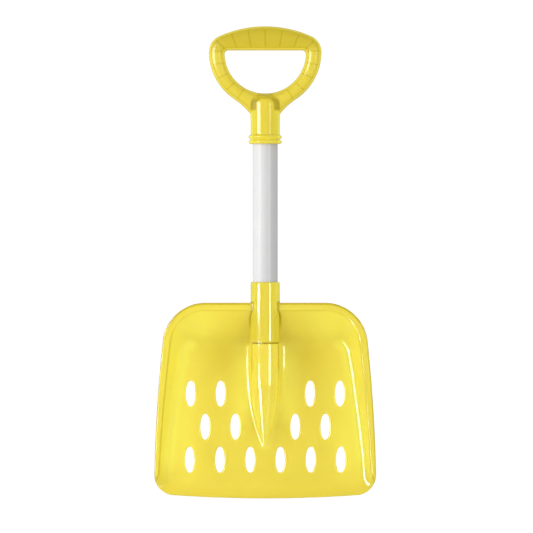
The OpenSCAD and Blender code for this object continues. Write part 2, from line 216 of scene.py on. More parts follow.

# How far parts of the mouldings get painted light, painted shade or a duller finish (satin), from 0 to
# 1
OUTER_PAINTED_LIGHT = 0.58
BACK_PAINTED_LIGHT = 0.22
BACK_OUTER_PAINTED_LIGHT = 0.46
BESIDE_RAMP_PAINTED_LIGHT = 0.85
RAMP_PAINTED_LIGHT = 0.25
RIM_PAINTED_LIGHT = 0.15
SLEEVE_PAINTED_LIGHT = 0.6
FLOOR_PAINTED_SHADE = 0.06
PATCH_PAINTED_SHADE = 0.16
LIP_PAINTED_SHADE = 0.08
SLEEVE_PAINTED_SHADE = 0.13
SLEEVE_FOOT_PAINTED_SHADE = 0.14
VALLEY_SATIN = 0.35
ARM_PAINTED_SHADE = 0.35
BAR_PAINTED_SHADE = 0.65
WALL_LINE = 0.25
ARM_SATIN = 0.28
BAR_SATIN = 0.36
SOCKET_PAINTED_LIGHT = 0.5
BEAD_GAP_PAINTED_LIGHT = 0.8

# The arch of painted shade that shows round the end of the grip's socket
ARCH_X = 2.75
ARCH_H = 38.75
ARCH_RADIUS = 9

# Nearer than this a point lies on a socket, and a point this far away is on no line
TOUCHING = 0.6
FAR = 9


def mix(a, b, t):
    return a + (b - a) * t


def clamp(t):
    return np.clip(t, 0, 1)


def ease(t):
    t = clamp(t)
    return t * t * (3 - 2 * t)


def rises(values, start, run):
    """0 up to a start, then smoothly up to 1 over a run."""
    return ease((values - start) / run)


def falls(values, start, run):
    return 1 - rises(values, start, run)


def hump(values, middle, width):
    """A bell of height 1."""
    return np.exp(-(((values - middle) / width) ** 2))


def soft_min(a, b, k):
    """The lower of two fields, with a fillet of about size k where they cross."""
    h = np.maximum(k - np.abs(a - b), 0)
    return np.minimum(a, b) - h * h / (4 * k)


def soft_max(a, b, k):
    return -soft_min(-a, -b, k)


def ellipse(x, y, a, b):
    """Distance to an ellipse with half axes a and b, close to its outline."""
    near = np.sqrt((x / a) ** 2 + (y / b) ** 2)
    slope = np.sqrt((x / a**2) ** 2 + (y / b**2) ** 2)
    return near * (near - 1) / np.maximum(slope, 1e-6)


def from_axis(x, z):
    """Distance from the axis of the tube."""
    return np.sqrt(x * x + (z - AXIS) ** 2)


class Trapezoid:
    """A trapezoid with rounded corners, symmetric about x = 0."""

    def __init__(self, foot, top, low, high, low_radius, high_radius):
        side = math.hypot(top - foot, high - low)
        self.along = ((top - foot) / side, (high - low) / side)
        self.out = (self.along[1], -self.along[0])
        self.foot = foot
        self.low = low
        self.high = high
        self.low_radius = low_radius
        self.high_radius = high_radius
        up_side = low_radius * (1 + self.out[1]) / self.along[1]
        self.low_x = foot + up_side * self.along[0] - low_radius * self.out[0]
        up_side = (high - low - high_radius * (1 - self.out[1])) / self.along[1]
        self.high_x = foot + up_side * self.along[0] - high_radius * self.out[0]

    def distance(self, x, s):
        """Distance beyond the outline, and the station of the nearest point on it."""
        x = np.abs(x)
        side = (x - self.foot) * self.out[0] + (s - self.low) * self.out[1]
        below = self.low - s
        above = s - self.high
        away = np.maximum(side, np.maximum(below, above))
        at_side = side >= np.maximum(below, above)
        station = np.where(at_side, s - side * self.out[1], np.clip(s, self.low, self.high))
        station = np.where(below > np.maximum(side, above), self.low, station)
        for radius, centre_x, centre_s, turn in (
            (self.low_radius, self.low_x, self.low + self.low_radius, -1),
            (self.high_radius, self.high_x, self.high - self.high_radius, 1),
        ):
            qx, qs = x - centre_x, s - centre_s
            corner = (qx > 0) & ((qx * self.along[0] + qs * self.along[1]) * turn > 0)
            reach = np.maximum(np.sqrt(qx * qx + qs * qs), 1e-6)
            away = np.where(corner, reach - radius, away)
            station = np.where(corner, centre_s + radius * qs / reach, station)
        return away, station


def side_at(s):
    return FOOT_HALF - (FOOT_HALF - TOP_HALF) * (s - EDGE_BOW) / (BLADE_LENGTH - EDGE_BOW)


def up(s):
    return clamp((s - EDGE_BOW) / (BLADE_LENGTH - EDGE_BOW))


FLOOR_TOP = BLADE_LENGTH - RIM_TOP - BACK_RUN
OUTLINE = Trapezoid(FOOT_HALF, TOP_HALF, EDGE_BOW, BLADE_LENGTH, FOOT_RADIUS, TOP_RADIUS)
RIM = Trapezoid(
    FOOT_HALF - RIM_FOOT,
    TOP_HALF - RIM_TOP,
    EDGE_BOW + RIM_FOOT,
    BLADE_LENGTH - RIM_TOP,
    FOOT_RADIUS - RIM_FOOT,
    TOP_RADIUS - RIM_TOP,
)
FOLD = Trapezoid(
    FOOT_HALF - RIM_FOOT - SIDE_RUN_FOOT,
    side_at(FLOOR_TOP) - mix(RIM_FOOT, RIM_TOP, float(up(FLOOR_TOP))) - SIDE_RUN,
    EDGE_BOW + RIM_FOOT + SIDE_RUN_FOOT,
    FLOOR_TOP,
    FOLD_RADIUS_FOOT,
    FOLD_RADIUS,
)


def straightened(x, s):
    """Takes the bulge of the sides and the bow of the digging edge out of a point."""
    flat_x, flat_s = x, s
    for _ in range(3):
        v = up(flat_s)
        flat_x = x / (1 + 4 * SIDE_BULGE * v * (1 - v))
        flat_s = s + EDGE_BOW * (1 - (flat_x / FOOT_HALF) ** 2) * (1 - v) ** 2
    return flat_x, flat_s


def raised(station):
    """How far the walls have risen, by the station of the nearest point of the outline."""
    return ease((station - EDGE_BOW - RISE_START) / RISE_RUN)


def dish_faces(x, s):
    """Heights of the dish's upper and lower face and of the rim's turned edge, and the distance beyond
    the dish's outline."""
    x, s = straightened(x, s)
    beyond, station = OUTLINE.distance(x, s)
    rim_in = -RIM.distance(x, s)[0]
    fold_in = -FOLD.distance(x, s)[0]
    risen = raised(station)
    plane = mix(RIM_HEIGHT_FOOT, RIM_HEIGHT, up(s))
    floor = mix(EDGE_THICKNESS, SHEET, clamp((s - EDGE_BOW) / EDGE_BEVEL))
    wall = mix(floor, plane - RIM_STEP, risen)
    run = np.maximum(rim_in - fold_in - STEP_RUN, 1)
    height = wall - floor
    blend = np.minimum(FOLD_BLEND / run, FOLD_BLEND_SHARE) * height + LEAST_BLEND
    down = np.maximum((rim_in - STEP_RUN) / run, 0)
    step = RIM_STEP * risen * (1 - ease(rim_in / STEP_RUN))
    top = soft_max(wall - height * down + step, floor, blend)
    shift = SHEET * height / (np.sqrt(run * run + height * height) + run)
    down = np.maximum((rim_in - STEP_RUN + shift) / run, 0)
    under = soft_max((plane - SHEET) * risen * (1 - down), 0 * floor, blend)
    return top, under, (plane - RIM_LIP) * risen, beyond


def dish(x, s, z):
    top, under, lip, beyond = dish_faces(x, s)
    across = dish_faces(x + SLOPE_STEP, s)
    along = dish_faces(x, s + SLOPE_STEP)
    top_slope, under_slope = [
        np.sqrt(1 + ((a - face) / SLOPE_STEP) ** 2 + ((b - face) / SLOPE_STEP) ** 2)
        for face, a, b in zip((top, under), across, along)
    ]
    over = (z - top) / top_slope
    sheet = np.maximum(over, (under - z) / under_slope)
    edge = np.maximum(np.maximum(over, lip - z), -beyond - LIP_WIDTH)
    rounding = EDGE_ROUND + RIM_ROUND * clamp(lip / RIM_ROUND_RUN)
    return soft_max(soft_min(sheet, edge, LIP_FILLET), beyond, rounding)


def down_ramp(s):
    """0 at the socket, 1 at the ramp's point."""
    return clamp((SOCKET_END - s) / RAMP_LENGTH)


def ramp_section(x, s, z, inset):
    u = down_ramp(s)
    width = RAMP_HALF * (1 - u**RAMP_NARROWING) + RAMP_POINT_HALF * u - inset
    width = np.maximum(width, RAMP_LEAST)
    v = clamp((u * RAMP_LENGTH - RAMP_FLAT) / (RAMP_LENGTH - RAMP_FLAT))
    ridge = (RAMP_TOP - SHEET) * (1 - v**RAMP_SINKING) + RAMP_POINT_HEIGHT * u
    crown = np.maximum(np.minimum(width, ridge - inset), RAMP_LEAST)
    rise = z - (SHEET + ridge - inset - crown)
    round_part = ellipse(x, np.maximum(rise, 0), width, crown)
    return np.where(rise > 0, round_part, np.abs(x) - width)


def ramp(x, s, z):
    body = ramp_section(x, s, z, 0)
    base = dish_faces(0 * s, s)[0] - SHEET / 2
    body = np.maximum(body, base - z)
    ends = np.maximum(s - SOCKET_END - RAMP_OVERLAP, SOCKET_END - RAMP_LENGTH - s)
    return np.maximum(body, ends)


def ramp_hollow(x, s, z):
    body = ramp_section(x, s, z, SHEET)
    ends = np.maximum(s - SOCKET_END + HOLLOW_GAP, SOCKET_END - HOLLOW_SHARE * RAMP_LENGTH - s)
    return np.maximum(body, ends)


def slots(x, s):
    nearest = None
    for row, places in SLOT_ROWS:
        for place in places:
            dx = np.abs(x) - place * SLOT_STEP * (1 - SLOT_STEP_LOSS * row)
            ds = s - SLOT_FIRST - row * SLOT_PITCH
            away = ellipse(dx, ds, SLOT_WIDTH / 2, SLOT_LENGTH / 2)
            nearest = away if nearest is None else np.minimum(nearest, away)
    return nearest


def screw_cut(x, s, z, station):
    """The flat seat of a screw's head and the hole for its shank."""
    radius = np.sqrt(x * x + (s - station) ** 2)
    seat = np.maximum(radius - HEAD_RADIUS - HEAD_CLEARANCE, z - SEAT)
    return np.minimum(seat, np.maximum(radius - SHANK_RADIUS - SHANK_CLEARANCE, z - AXIS))


def blade_sleeve(x, s, z):
    """The blade's socket, without its bore."""
    outside = soft_max(from_axis(x, z) - SOCKET, s - SOCKET_TOP, SLEEVE_EDGE)
    return np.maximum(outside, SOCKET_END - s)


def blade(x, s, z):
    shell = dish(x, s, z)
    u = down_ramp(s)
    foot = RAMP_FILLET * (1 - u**RAMP_FILLET_POWER) + RAMP_FILLET_POINT * u
    foot = foot * ease((SOCKET_END + RAMP_OVERLAP - s) / RAMP_LEAD) + RAMP_FILLET_LEAST
    top, under = dish_faces(x, s)[:2]
    raised_part = ramp(x, s, z)
    filleted = soft_min(shell, raised_part, foot)
    filleted = np.where(2 * z > top + under, filleted, np.minimum(shell, raised_part))
    solid = np.minimum(filleted, soft_min(shell, blade_sleeve(x, s, z), SLEEVE_FILLET))
    solid = soft_max(solid, -ramp_hollow(x, s, z), HOLLOW_EDGE)
    solid = soft_max(solid, -slots(x, s), SLOT_EDGE)
    solid = soft_max(solid, -np.maximum(from_axis(x, z) - BORE, TUBE_START - s), BORE_EDGE)
    return np.maximum(solid, -screw_cut(x, s, z, BLADE_SCREW))


# Where the arcs of the loop meet
BAR_LOW = BAR_RADIUS - LOOP_TOP
CORNER = (BAR_RADIUS**2 - LOOP_RADIUS**2 - BAR_LOW**2) / (2 * (BAR_RADIUS - LOOP_RADIUS))
CORNER_TURN = math.atan2(BAR_LOW, LOOP_RADIUS - CORNER)
NECK_X = SOCKET + NECK_RADIUS * math.cos(NECK_KINK)
NECK_V = -math.sqrt((LOOP_RADIUS + NECK_RADIUS) ** 2 - NECK_X**2)
NECK_TURN = math.atan2(-NECK_V, NECK_X)
NECK_END = NECK_V + NECK_RADIUS * math.sin(NECK_KINK)
HAND_V = HAND_EDGE - HAND_CORNER
HAND_X = math.sqrt((HAND_RADIUS - HAND_CORNER) ** 2 - (HAND_V + HAND_DROP) ** 2)
HAND_TURN = math.atan2(HAND_V + HAND_DROP, HAND_X)


def loop_outside(x, v):
    """Distance beyond the outline of the hand loop, with v along the handle from the loop's middle."""
    x = np.abs(x)
    qx = x - (LOOP_RADIUS - CORNER)
    at_corner = np.arctan2(v, qx) < CORNER_TURN
    corner = np.sqrt(qx * qx + v * v) - CORNER
    bar = np.sqrt(x * x + (v + BAR_LOW) ** 2) - BAR_RADIUS
    top = np.where(at_corner, corner, bar)
    disc = np.sqrt(x * x + v * v) - LOOP_RADIUS
    nx, nv = x - NECK_X, v - NECK_V
    angle = np.arctan2(nv, nx)
    at_neck = (angle > math.pi - NECK_TURN) & (angle < math.pi - NECK_KINK)
    neck = NECK_RADIUS - np.sqrt(nx * nx + nv * nv)
    low = np.where(at_neck, neck, np.minimum(disc, x - SOCKET))
    kx, kv = x - SOCKET, v - NECK_END
    low = np.where(np.arctan2(kv, kx) > math.pi - NECK_KINK, -np.sqrt(kx * kx + kv * kv), low)
    return np.where(v > 0, top, low)


def hand_hole(x, v):
    x = np.abs(x)
    qx, qv = x - HAND_X, v - HAND_V
    angle = np.arctan2(qv, qx)
    at_corner = (angle > HAND_TURN) & (angle < math.pi / 2)
    away = np.maximum(np.sqrt(x * x + (v + HAND_DROP) ** 2) - HAND_RADIUS, v - HAND_EDGE)
    return np.where(at_corner, np.sqrt(qx * qx + qv * qv) - HAND_CORNER, away)


def loop_section(x, v, z, inset):
    """A half-round section on straight sides, across the loop's width."""
    inner, outer = hand_hole(x, v), -loop_outside(x, v)
    half = np.maximum((inner + outer) / 2 - inset, LOOP_LEAST_HALF)
    place = (inner - outer) / 2
    rise = z - LOOP_SPRING
    round_part = ellipse(place, np.maximum(rise, 0), half, LOOP_CROWN - inset)
    return np.where(rise > 0, round_part, np.abs(place) - half)


def on_circle(x, v, radius, angle):
    return x + radius * math.cos(angle), v + radius * math.sin(angle)


def rib_lines():
    """Ends of the ribs on the right half, at the hand hole and at the outside."""
    lines = []
    for t in BAR_RIBS:
        angle = mix(math.pi / 2, CORNER_TURN, t)
        lines.append(((HAND_X * t, HAND_EDGE), on_circle(0, -BAR_LOW, BAR_RADIUS, angle)))
    inside = on_circle(HAND_X, HAND_V, HAND_CORNER, CORNER_RIB_INSIDE)
    lines.append((inside, on_circle(LOOP_RADIUS - CORNER, 0, CORNER, CORNER_RIB_OUTSIDE)))
    for degrees in ARM_RIBS:
        angle = math.radians(degrees)
        inside = on_circle(0, -HAND_DROP, HAND_RADIUS, angle)
        lines.append((inside, on_circle(0, 0, LOOP_RADIUS, angle)))
    return lines


def rib_distance(x, v):
    """Distance to the middle of the nearest rib."""
    x = np.abs(x)
    nearest = None
    for (ax, av), (bx, bv) in rib_lines():
        long = math.hypot(bx - ax, bv - av)
        ux, uv = (bx - ax) / long, (bv - av) / long
        along = (x - ax) * ux + (v - av) * uv
        aside = np.abs((x - ax) * uv - (v - av) * ux)
        away = np.maximum(aside, np.maximum(-RIB_OVERLAP - along, along - long - RIB_OVERLAP))
        nearest = away if nearest is None else np.minimum(nearest, away)
    return nearest


def grip_sleeve(x, s, z):
    """The grip's socket: a tube with a rounded end and two beads round its mouth."""
    radius = from_axis(x, z)
    h = s - MOUTH
    qr, qh = radius - SOCKET + DOME, h - GRIP_SOCKET + DOME
    at_corner = (qr > 0) & (qh > 0)
    end = np.where(at_corner, np.sqrt(qr * qr + qh * qh) - DOME, np.maximum(qr, qh) - DOME)
    sleeve = np.maximum(end, -h)
    for k in (0, 1):
        bead = np.sqrt((radius - BEAD_RADIUS + BEAD) ** 2 + (h - BEAD - k * BEAD_PITCH) ** 2) - BEAD
        sleeve = soft_min(sleeve, bead, BEAD_FILLET)
    return sleeve


def grip(x, s, z):
    v = s - LOOP_MIDDLE
    outside = loop_section(x, v, z, 0)
    channel = np.maximum(outside, np.maximum(LOOP_BACK - z, NECK_END - NECK_OVERLAP - v))
    channel = soft_max(channel, -loop_section(x, v, z, LOOP_WALL), LOOP_EDGE)
    ribs = np.maximum(outside + LOOP_WALL / 2, LOOP_BACK + RIB_RECESS - z)
    ribs = np.maximum(ribs, rib_distance(x, v) - RIB / 2)
    solid = soft_min(soft_min(channel, ribs, RIB_FILLET), grip_sleeve(x, s, z), GRIP_FILLET)
    bore = np.maximum(from_axis(x, z) - BORE, s - MOUTH - GRIP_DEPTH)
    solid = soft_max(solid, -bore, BORE_EDGE)
    return np.maximum(solid, -screw_cut(x, s, z, GRIP_SCREW))


def screw_field(station):
    """A pan head with a cross recess, facing down, on a pointed self-tapping shank."""

    def field(x, s, z):
        y = s - station
        radius = np.sqrt(x * x + y * y)
        h = z - SEAT
        pan = np.sqrt(radius**2 + (h - PAN_CENTRE) ** 2) - PAN_RADIUS
        head = np.maximum(soft_max(pan, radius - HEAD_RADIUS, HEAD_EDGE), h)
        depth = -HEAD_HEIGHT + RECESS_DEPTH - h
        half = RECESS_HALF + RECESS_FLARE * depth
        reach = RECESS_REACH + RECESS_SLOPE * (depth - RECESS_DEPTH)
        cross = np.minimum(
            np.maximum(np.abs(x) - half, np.abs(y) - reach),
            np.maximum(np.abs(y) - half, np.abs(x) - reach),
        )
        head = soft_max(head, -np.maximum(cross, -depth), RECESS_EDGE)
        taper = clamp((SHANK_LENGTH - h) / POINT_LENGTH)
        turn = np.abs(np.mod(h / THREAD_PITCH - np.arctan2(y, x) / (2 * math.pi), 1) - 0.5) * 2
        thread = THREAD_HEIGHT * np.maximum(turn * (1 + THREAD_GAP) - THREAD_GAP, 0)
        shank = (radius - (CORE_RADIUS + thread) * taper) * THREAD_SLOWING
        shank = np.maximum(shank, np.maximum(h - SHANK_LENGTH, -h - SHANK_OVERLAP))
        return soft_min(head, shank, HEAD_FILLET)

    return field


def new_piece(name, points, faces):
    """A smooth object from points in metres."""
    mesh = bpy.data.meshes.new(name)
    mesh.from_pydata(points, [], faces)
    mesh.shade_smooth()
    mesh.update()
    piece = bpy.data.objects.new(name, mesh)
    bpy.context.collection.objects.link(piece)
    return piece


def meshed(name, field, low, high, step):
    """An object of a field's zero level, and its points in millimetres, moved onto that level."""
    axes = [np.arange(a, b + step, step, dtype=np.float32) for a, b in zip(low, high)]
    values = field(axes[0][:, None, None], axes[1][None, :, None], axes[2][None, None, :])
    band = CELL_BAND * step
    grid = openvdb.FloatGrid(float(band))
    grid.copyFromArray(np.clip(values, -band, band).astype(np.float32))
    points, quads = grid.convertToQuads(0.0)
    points = np.array(low) + points.astype(np.float64) * step
    probes = np.eye(3)[:, :, None] * PROBE_SHARE * step
    limit = SETTLING_LIMIT * step
    for _ in range(SETTLING_ROUNDS):
        p = points.T
        value = field(*p)
        slope = np.stack([
            (field(*(p + probe)) - field(*(p - probe))) / (2 * PROBE_SHARE * step) for probe in probes
        ])
        move = slope * value / np.maximum((slope * slope).sum(axis=0), LEAST_SLOPE)
        points = points - np.clip(move, -limit, limit).T
    placed = (points - np.array((0, OVERALL / 2, 0))) / 1000
    return new_piece(name, placed.tolist(), quads.tolist()), points


def tube():
    """The shaft: a thick-walled tube with eased ends."""
    outer, inner = TUBE_RADIUS, TUBE_RADIUS - TUBE_WALL
    eased = [(outer - TUBE_EASE, 0), (outer - TUBE_EASE_MIDDLE, TUBE_EASE_MIDDLE), (outer, TUBE_EASE)]
    rings = list(eased)
    for k in range(1, TUBE_RINGS_OUTSIDE):
        rings.append((outer, TUBE_LENGTH * k / TUBE_RINGS_OUTSIDE))
    for radius, along in reversed(eased):
        rings.append((radius, TUBE_LENGTH - along))
    for k in range(TUBE_RINGS_INSIDE, -1, -1):
        rings.append((inner, TUBE_LENGTH * k / TUBE_RINGS_INSIDE))
    points, faces = [], []
    for radius, along in rings:
        y = TUBE_START + along - OVERALL / 2
        for k in range(TUBE_SIDES):
            x, z = on_circle(0, AXIS, radius, 2 * math.pi * k / TUBE_SIDES)
            points.append((x / 1000, y / 1000, z / 1000))
    for ring in range(len(rings)):
        here = ring * TUBE_SIDES
        after = (ring + 1) % len(rings) * TUBE_SIDES
        for k in range(TUBE_SIDES):
            n = (k + 1) % TUBE_SIDES
            faces.append((here + k, here + n, after + n, after + k))
    return new_piece("Tube", points, faces)


def new_material(name):
    material = bpy.data.materials.new(name)
    material.use_nodes = True
    tree = material.node_tree
    return material, tree, tree.nodes["Principled BSDF"]


def set_inputs(node, **inputs):
    """Sets a node's sockets by name, with underscores for spaces."""
    for key, value in inputs.items():
        node.inputs[key.replace("_", " ")].default_value = value


def new_node(tree, kind, **inputs):
    node = tree.nodes.new(kind)
    set_inputs(node, **inputs)
    return node


def noise(tree, scale, detail=3.0, stretch=(1, 1, 1)):
    """Noise in the object's own coordinates, which are metres."""
    coords = tree.nodes.new("ShaderNodeTexCoord")
    mapping = new_node(tree, "ShaderNodeMapping", Scale=stretch)
    texture = new_node(tree, "ShaderNodeTexNoise", Scale=scale, Detail=detail)
    tree.links.new(coords.outputs["Object"], mapping.inputs["Vector"])
    tree.links.new(mapping.outputs["Vector"], texture.inputs["Vector"])
    return texture.outputs["Fac"]


def grey(value):
    return (value, value, value)


def ramped(tree, source, stops):
    """A colour ramp with stops of (place, colour)."""
    ramp_node = tree.nodes.new("ShaderNodeValToRGB")
    ends = ramp_node.color_ramp.elements
    while len(ends) < len(stops):
        ends.new(0.5)
    for end, (place, colour) in zip(ends, stops):
        end.position = place
        end.color = (*colour, 1)
    tree.links.new(source, ramp_node.inputs["Fac"])
    return ramp_node.outputs["Color"]


def varied(tree, source, first, second, low=0.3, high=0.7):
    """Colours from the first to the second as a noise goes from low to high."""
    return ramped(tree, source, [(low, first), (high, second)])


def measured(tree, attribute, low, high, stops):
    """Greys along a number that the mesh carries, given as stops of (number, grey)."""
    source = tree.nodes.new("ShaderNodeAttribute")
    source.attribute_name = attribute
    spread = new_node(tree, "ShaderNodeMapRange", From_Min=low, From_Max=high)
    tree.links.new(source.outputs["Fac"], spread.inputs["Value"])
    places = [((at - low) / (high - low), grey(value)) for at, value in stops]
    return ramped(tree, spread.outputs["Result"], places)


def combined(tree, operation, first, *others):
    """Values taken together in a Math operation, held between 0 and 1."""
    for other in others:
        node = tree.nodes.new("ShaderNodeMath")
        node.operation = operation
        node.use_clamp = True
        tree.links.new(first, node.inputs[0])
        tree.links.new(other, node.inputs[1])
        first = node.outputs["Value"]
    return first


def blended(tree, kind, factor, first, second):
    """A colour mixed from two, where each value is a socket or a constant."""
    node = tree.nodes.new("ShaderNodeMix")
    node.data_type = "RGBA"
    node.blend_type = kind
    colours = [socket for socket in node.inputs if socket.type == "RGBA"]
    for socket, value in zip([node.inputs["Factor"], *colours], (factor, first, second)):
        if isinstance(value, bpy.types.NodeSocket):
            tree.links.new(value, socket)
        else:
            socket.default_value = value
    return [socket for socket in node.outputs if socket.type == "RGBA"][0]


def bumped(tree, shader, source, strength, distance):
    bump = new_node(tree, "ShaderNodeBump", Strength=strength, Distance=distance)
    tree.links.new(source, bump.inputs["Height"])
    tree.links.new(bump.outputs["Normal"], shader.inputs["Normal"])


def yellow_plastic(name, add_painted_shade, smooth, rougher):
    """Glossy translucent plastic, with painted light mixed in as a paler yellow where the mesh carries
    it, and painted shade from the given function as tints that deepen the colour."""
    material, tree, shader = new_material(name)
    base = varied(tree, noise(tree, 30), *YELLOW)
    # Painted light: a paler yellow mixed in where the mesh carries it
    painted_light = measured(tree, "painted_light", 0, 1, [(0, 0), (1, 1)])
    base = blended(tree, "MIX", painted_light, base, PAINTED_LIGHT_YELLOW)
    # Painted shade: tints that deepen the colour
    depth = ramped(tree, add_painted_shade(tree), SHADE_TINTS)
    tree.links.new(blended(tree, "MULTIPLY", 1.0, base, depth), shader.inputs["Base Color"])
    worn = varied(tree, noise(tree, 55, 4.0), grey(smooth), grey(rougher), 0.35, 0.72)
    satin = measured(tree, "satin", 0, 1, [(0, 0), (1, 0.45)])
    tree.links.new(combined(tree, "ADD", worn, satin), shader.inputs["Roughness"])
    set_inputs(shader, IOR=1.5, Subsurface_Weight=0.9, Subsurface_Scale=0.0018)
    set_inputs(shader, Subsurface_Radius=(1.0, 0.9, 0.3))
    bumped(tree, shader, noise(tree, 120, 2.0), 0.03, 0.0005)
    return material


def blade_painted_shade(tree):
    """Painted shade: dark lines at the step of the rim, round its outer edge, and where the socket
    meets the dish and the ramp, added to painted shade patches over the blade."""
    step = measured(tree, "rim", -3, 3, [(-0.8, 0), (0, 1), (0.5, 1), (1.3, 0)])
    step = combined(tree, "MULTIPLY", step, measured(tree, "side", 0, 1, [(0, 0.14), (1, 0.42)]))
    edge = measured(tree, "beyond", -4, 2, [(-2.6, 0), (-1.4, 0.5), (0.5, 0.5)])
    valley = measured(tree, "valley", 0, 4, [(0.6, 0.6), (2.2, 0)])
    seam = measured(tree, "seam", -3, 3, [(-1.1, 0), (-0.3, 0.8), (0.3, 0.8), (1.1, 0)])
    thick = measured(tree, "thick", 0, 1, [(0, 0), (1, 1)])
    return combined(tree, "ADD", thick, combined(tree, "MAXIMUM", step, edge, valley, seam))


def grip_painted_shade(tree):
    """Painted shade: dark rib shadows over the ribs and an arch round the socket's end, and a deeper
    colour over the hollow of the loop."""
    ribs = measured(tree, "rib", 0, 1, [(0.1, 0), (1, 0.25)])
    hollow = measured(tree, "hollow", 0, 1, [(0, 0), (1, 0.42)])
    arch = measured(tree, "arch", 0, 1, [(0, 0), (1, 0.75)])
    return combined(tree, "MAXIMUM", combined(tree, "ADD", ribs, hollow), arch)


def white_plastic():
    material, tree, shader = new_material("White plastic")
    base = varied(tree, noise(tree, 45, 4.0), *WHITE)
    tree.links.new(base, shader.inputs["Base Color"])
    drawn_lines = noise(tree, 420, 3.0, (1, 0.02, 1))
    rough = varied(tree, drawn_lines, grey(0.58), grey(0.64))
    tree.links.new(rough, shader.inputs["Roughness"])
    set_inputs(shader, IOR=1.5, Coat_Weight=0.25, Coat_Roughness=0.2)
    set_inputs(shader, Subsurface_Weight=0.1, Subsurface_Scale=0.001)
    bumped(tree, shader, drawn_lines, 0.04, 0.0003)
    return material


def zinc_steel():
    material, tree, shader = new_material("Zinc-plated steel")
    base = varied(tree, noise(tree, 900, 4.0), *ZINC)
    tree.links.new(base, shader.inputs["Base Color"])
    rough = varied(tree, noise(tree, 1500, 4.0), grey(0.26), grey(0.42))
    tree.links.new(rough, shader.inputs["Roughness"])
    set_inputs(shader, Metallic=1.0)
    bumped(tree, shader, noise(tree, 2500, 2.0), 0.08, 0.0001)
    return material


def white_floor():
    """White to the camera, half as bright as a light, and dimmer still in reflections."""
    material, tree, shader = new_material("Floor")
    material.cycles.emission_sampling = "NONE"
    base = varied(tree, noise(tree, 3), grey(0.05), grey(0.06))
    tree.links.new(base, shader.inputs["Base Color"])
    ray = tree.nodes.new("ShaderNodeLightPath").outputs
    glow = blended(tree, "MIX", ray["Is Diffuse Ray"], (0.3, 0.3, 0.3, 1), (0.5, 0.5, 0.5, 1))
    glow = blended(tree, "MIX", ray["Is Camera Ray"], glow, (1, 1, 1, 1))
    tree.links.new(glow, shader.inputs["Emission Color"])
    set_inputs(shader, Roughness=0.9, Emission_Strength=1.0)
    return material


def carry(piece, name, values):
    """Gives each point of a mesh a number, which its material reads."""
    attribute = piece.data.attributes.new(name, "FLOAT", "POINT")
    attribute.data.foreach_set("value", values.astype(np.float32))


def mark_blade(piece, points):
    """The numbers for the blade's material, placed in millimetres."""
    x, s, z = points.T
    half_x = np.abs(x)
    flat = straightened(x, s)
    beyond, station = OUTLINE.distance(*flat)
    beyond_rim = RIM.distance(*flat)[0]
    beyond_fold = FOLD.distance(*flat)[0]
    from_sleeve = blade_sleeve(x, s, z)
    on_sleeve = from_sleeve < TOUCHING
    ramp_part = falls(ramp(x, s, z), 1, 5)

    # Painted shade lines along the rim, which end where the walls run out
    off_edge = 3 * (1 - raised(station))
    aside = falls(station, 150, 35)
    carry(piece, "rim", np.where(on_sleeve, FAR, 3 * off_edge - beyond_rim))
    carry(piece, "side", aside)
    carry(piece, "beyond", np.where(on_sleeve, -FAR, beyond - off_edge - 0.9 * aside))

    # Painted shade in the valleys beside the socket and the ramp, and along the seam between the two
    beside_sleeve = np.maximum(np.abs(from_sleeve), np.abs(dish(x, s, z)))
    flank = 0.8 + np.abs(half_x - RAMP_HALF) + 4 * rises(SOCKET_END - s, 25, 30)
    flank = np.where((s < SOCKET_END) & (z > 5), flank, FAR)
    carry(piece, "valley", np.minimum(beside_sleeve, flank))
    carry(piece, "satin", VALLEY_SATIN * falls(beside_sleeve, 1, 1.5))
    on_top = (half_x < SOCKET) & (z > AXIS)
    carry(piece, "seam", np.where(on_top, s - SOCKET_END + HOLLOW_GAP, FAR))

    # Painted shade: a deeper colour on the floor, in patches beside the socket's foot, at the digging
    # edge and on that foot's sides
    shade_patch = hump(half_x, 41, 16) * hump(s, 145, 21)
    thick = FLOOR_PAINTED_SHADE + PATCH_PAINTED_SHADE * shade_patch + LIP_PAINTED_SHADE * falls(s, 0, 14)
    thick = mix(thick, 0, np.where(s < SOCKET_END, ramp_part, 0))
    sleeve_thick = SLEEVE_PAINTED_SHADE + SLEEVE_FOOT_PAINTED_SHADE * rises(half_x, 6, 6) * falls(s, 180, 12)
    carry(piece, "thick", np.where(on_sleeve, sleeve_thick, thick))

    # Painted light: a lighter colour towards the walls, along the folds, beside the ramp and on the
    # socket's sides
    outer_part = OUTER_PAINTED_LIGHT * rises(half_x, 54, 34)
    outer_part = np.maximum(outer_part, hump(beyond_fold, -3, 9) * rises(half_x, 62, 16))
    back_part = (BACK_PAINTED_LIGHT + BACK_OUTER_PAINTED_LIGHT * rises(half_x, 25, 45)) * rises(s, 146, 26)
    walls = np.maximum(outer_part, back_part) * rises(s, 6, 40)
    beside_ramp = hump(half_x, 20, 13) * rises(s, 66, 30) * (1 - 0.5 * rises(s, 132, 20))
    beside_ramp *= BESIDE_RAMP_PAINTED_LIGHT * falls(s, 150, 10)
    painted_light = np.maximum(walls, beside_ramp) * (1 - ramp_part)
    painted_light += RAMP_PAINTED_LIGHT * ramp_part * falls(s, 92, 22)
    painted_light = np.where(beyond_rim > 0, np.minimum(painted_light, RIM_PAINTED_LIGHT), painted_light)
    sleeve_painted_light = SLEEVE_PAINTED_LIGHT * rises(half_x, 7, 6) * rises(s, 185, 10)
    carry(piece, "painted_light", np.where(on_sleeve, sleeve_painted_light, painted_light))


